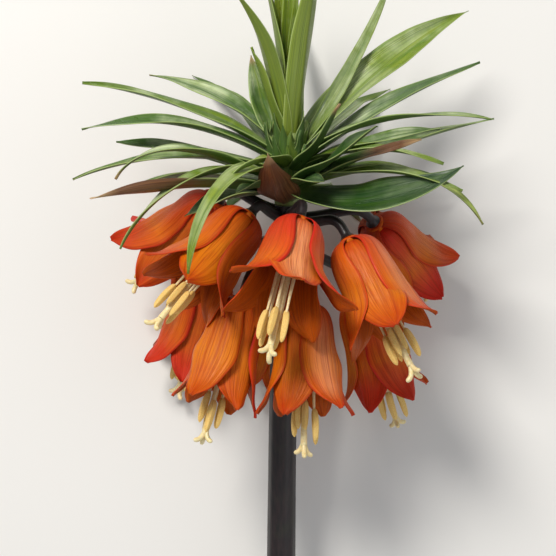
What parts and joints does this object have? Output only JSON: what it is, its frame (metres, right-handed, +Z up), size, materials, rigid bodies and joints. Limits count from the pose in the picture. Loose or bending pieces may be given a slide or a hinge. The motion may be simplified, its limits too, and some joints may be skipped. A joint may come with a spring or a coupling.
{
  "type": "crown imperial fritillary",
  "caption": "Cut flowering stem with a ring of orange hanging bells under an upright tuft of strap-shaped leaves, lying on its side.",
  "frame": {"origin": "on the surface, under the middle of the bounding box", "axes": "+Z up from the surface, towards the side that faced the viewer; +Y along the stem, from its cut end to the crown of leaves; +X to the viewer's right"},
  "size_m": [0.1652, 0.4082, 0.1249],
  "materials": {
    "stem_dark": "satin",
    "leaf_green": "satin",
    "tepal_orange": "satin",
    "pollen_cream": "matt",
    "style_cream": "satin"
  },
  "bodies": {
    "root": {"stem": "stem_dark", "leaf_crown": "leaf_green", "bell_front": "tepal_orange", "bell_left_front": "tepal_orange", "bell_left_side": "tepal_orange", "bell_right_front": "tepal_orange", "bell_right_side": "tepal_orange", "bell_left_low": "tepal_orange", "bell_right_low": "tepal_orange", "bell_left_rear": "tepal_orange", "bell_right_rear": "tepal_orange", "bell_rear_low": "tepal_orange", "stamens_front": "pollen_cream", "stamens_left_front": "pollen_cream", "stamens_left_side": "pollen_cream", "stamens_right_front": "pollen_cream", "stamens_right_side": "pollen_cream", "stamens_left_low": "pollen_cream", "stamens_right_low": "pollen_cream", "stamens_left_rear": "pollen_cream", "stamens_right_rear": "pollen_cream", "stamens_rear_low": "pollen_cream", "pistil_front": "style_cream", "pistil_left_front": "style_cream", "pistil_left_side": "style_cream", "pistil_right_front": "style_cream", "pistil_right_side": "style_cream", "pistil_left_low": "style_cream", "pistil_right_low": "style_cream", "pistil_left_rear": "style_cream", "pistil_right_rear": "style_cream", "pistil_rear_low": "style_cream"}
  },
  "joints": []
}
